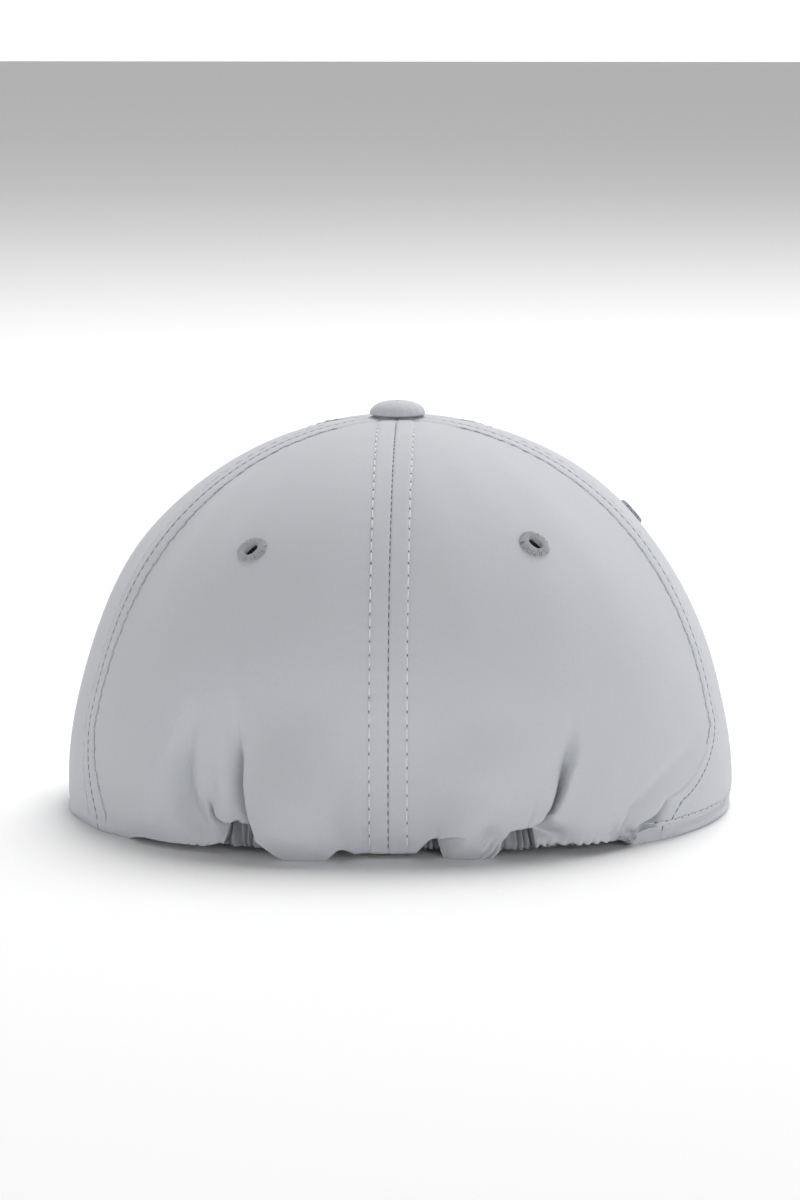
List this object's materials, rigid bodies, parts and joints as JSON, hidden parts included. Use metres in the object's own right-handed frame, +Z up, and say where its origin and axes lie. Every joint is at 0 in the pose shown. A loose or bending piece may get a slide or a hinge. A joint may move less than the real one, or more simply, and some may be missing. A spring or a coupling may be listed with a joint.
{
  "type": "five-panel cap",
  "caption": "Soft rounded cap with a front peak, a covered top button, stitched vent rings and an elastic back hem gathered into folds.",
  "frame": {"origin": "middle of the cap's plan, on the surface it rests on", "axes": "+Z up along the crown's axis; +Y towards the gathered back, so the peak points along -Y; +X to the wearer's left"},
  "size_m": [0.1936, 0.269, 0.1179],
  "materials": {
    "crown_cloth": "matt fine nylon weave, pale cool grey",
    "peak_cloth": "the same nylon over a stiff board, with rows of stitching",
    "band_cloth": "plain tape, pale grey",
    "elastic_cloth": "ruched nylon over elastic",
    "thread": "radial embroidery thread, pale grey"
  },
  "bodies": {
    "root": {"front_panel": "crown_cloth", "left_side_panel": "crown_cloth", "right_side_panel": "crown_cloth", "left_back_panel": "crown_cloth", "right_back_panel": "crown_cloth", "top_button": "crown_cloth", "left_back_eyelet": "thread", "right_back_eyelet": "thread", "left_side_eyelet": "thread", "right_side_eyelet": "thread", "elastic_band": "elastic_cloth", "sweatband": "band_cloth", "peak": "peak_cloth"}
  },
  "joints": []
}
